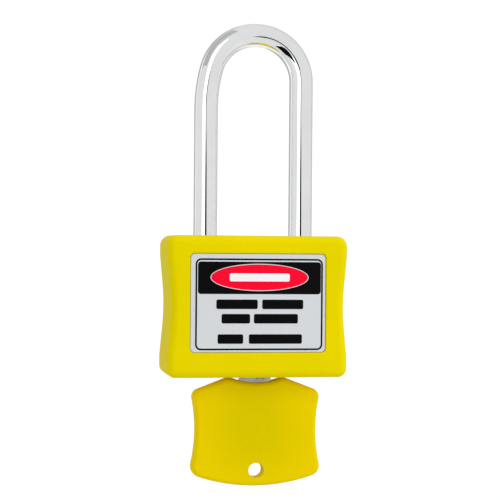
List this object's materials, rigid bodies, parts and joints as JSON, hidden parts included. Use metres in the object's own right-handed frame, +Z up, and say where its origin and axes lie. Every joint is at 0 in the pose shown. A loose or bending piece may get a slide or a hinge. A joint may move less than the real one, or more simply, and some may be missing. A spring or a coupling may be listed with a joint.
{
  "type": "safety padlock",
  "caption": "Electrician's lock-out padlock: yellow moulded jacket over a brass pin-tumbler core, long chromed shackle, blank warning-style plate, yellow-headed key in the keyway.",
  "frame": {"origin": "the point inside the top of the shackle's bow, on the mid-plane, where the padlock hangs", "axes": "+Z up along the shackle's legs, -Y the labelled front, +X towards the shackle's long leg"},
  "size_m": [0.0482, 0.0206, 0.1241],
  "materials": {
    "yellow_plastic": "satin moulded plastic with a fine grain",
    "label_film": "printed film under a clear laminate",
    "polished_chrome": "polished chrome plate",
    "brass": "turned and milled",
    "steel": "hardened, lightly oiled",
    "nickel": "nickel-plated brass with milled flanks"
  },
  "bodies": {
    "lock_body": {"ball_channel_plug": "brass", "chamber_cover": "brass", "cylinder_retainer": "steel", "driver_pin_1": "brass", "driver_pin_2": "brass", "driver_pin_3": "brass", "driver_pin_4": "brass", "driver_pin_5": "brass", "heel_bore_plug": "brass", "jacket": "yellow_plastic", "label": "label_film", "lock_core": "brass", "pin_spring_1": "steel", "pin_spring_2": "steel", "pin_spring_3": "steel", "pin_spring_4": "steel", "pin_spring_5": "steel", "rear_cover": "yellow_plastic", "shackle_spring": "steel"},
    "shackle_body": {"shackle": "polished_chrome", "shackle_retaining_ring": "steel"},
    "plug_body": {"cylinder_plug": "brass", "actuator": "steel", "key_pin_1": "brass", "key_pin_2": "brass", "key_pin_3": "brass", "key_pin_4": "brass", "key_pin_5": "brass"},
    "key_body": {"key_blade": "nickel", "key_cover": "yellow_plastic"},
    "toe_ball_body": {"locking_ball_toe": "steel"},
    "heel_ball_body": {"locking_ball_heel": "steel"}
  },
  "joints": [
    {"name": "shackle_lift", "type": "slide", "parent": "lock_body", "child": "shackle_body", "axis": [0, 0, 1], "range_m": [0, 0.0125], "deforming": ["shackle_spring"]},
    {"name": "plug_turn", "type": "hinge", "parent": "lock_body", "child": "plug_body", "pos_m": [0, 0, -0.0858], "axis": [0, 0, 1], "range_deg": [0, 90]},
    {"name": "toe_ball_slide", "type": "slide", "parent": "lock_body", "child": "toe_ball_body", "axis": [1, 0, 0], "range_m": [0, 0.0032]},
    {"name": "heel_ball_slide", "type": "slide", "parent": "lock_body", "child": "heel_ball_body", "axis": [-1, 0, 0], "range_m": [0, 0.0032]},
    {"name": "key_pull", "type": "slide", "parent": "plug_body", "child": "key_body", "axis": [0, 0, -1], "range_m": [0, 0.025]}
  ],
  "couplings": [
    {"joint": "plug_turn", "follows": "shackle_lift", "rad_per_m": 125.66},
    {"joint": "toe_ball_slide", "follows": "shackle_lift", "ratio": 0.256},
    {"joint": "heel_ball_slide", "follows": "shackle_lift", "ratio": 0.256}
  ]
}
